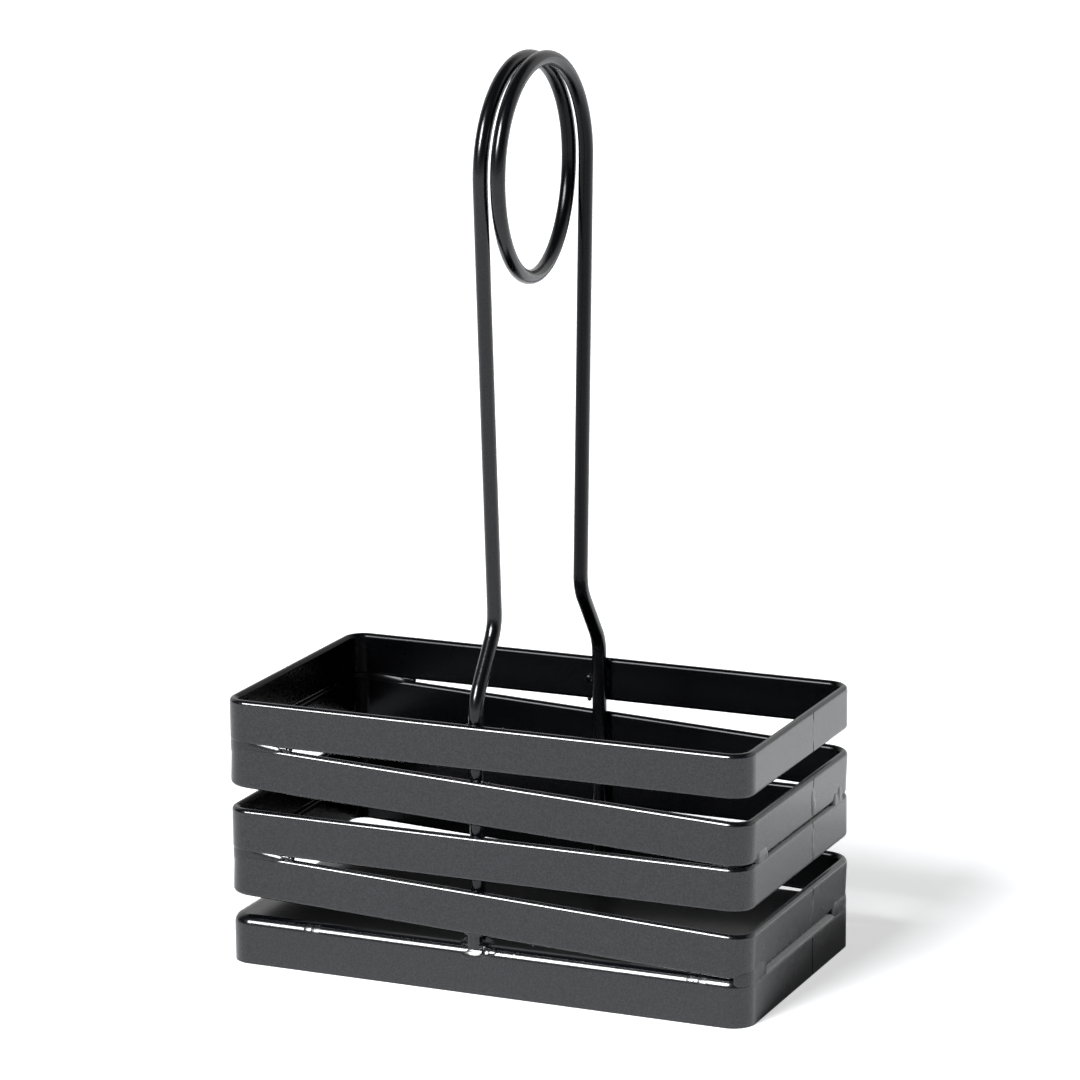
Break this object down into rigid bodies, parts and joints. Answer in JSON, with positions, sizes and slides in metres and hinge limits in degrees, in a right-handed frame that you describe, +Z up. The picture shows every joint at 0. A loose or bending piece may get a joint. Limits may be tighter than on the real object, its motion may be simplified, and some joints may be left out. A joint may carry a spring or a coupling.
{
  "type": "sugar packet holder",
  "caption": "Open rectangular caddy of zig-zag stacked strip hoops on a pressed base, with a tall looped wire carrying handle, for sugar packets.",
  "frame": {"origin": "on the table under the middle of the base pan", "axes": "+Z up, +X along the basket towards the end with the butt joints, +Y from the front to the rear"},
  "size_m": [0.1594, 0.085, 0.2593],
  "materials": {
    "strip_coat": "satin black powder coat on bent steel strip",
    "pan_coat": "satin black powder coat on pressed steel sheet",
    "wire_coat": "satin black powder coat on round steel wire",
    "weld_coat": "satin black powder coat over weld metal"
  },
  "bodies": {
    "root": {"base_pan": "pan_coat", "lower_tilted_hoop": "strip_coat", "middle_hoop": "strip_coat", "upper_tilted_hoop": "strip_coat", "top_hoop": "strip_coat", "handle_wire": "wire_coat", "left_upper_welds": "weld_coat", "left_lower_welds": "weld_coat", "right_upper_welds": "weld_coat", "right_lower_welds": "weld_coat", "front_leg_welds": "weld_coat", "rear_leg_welds": "weld_coat", "foot_welds": "weld_coat", "seam_welds": "weld_coat"}
  },
  "joints": []
}
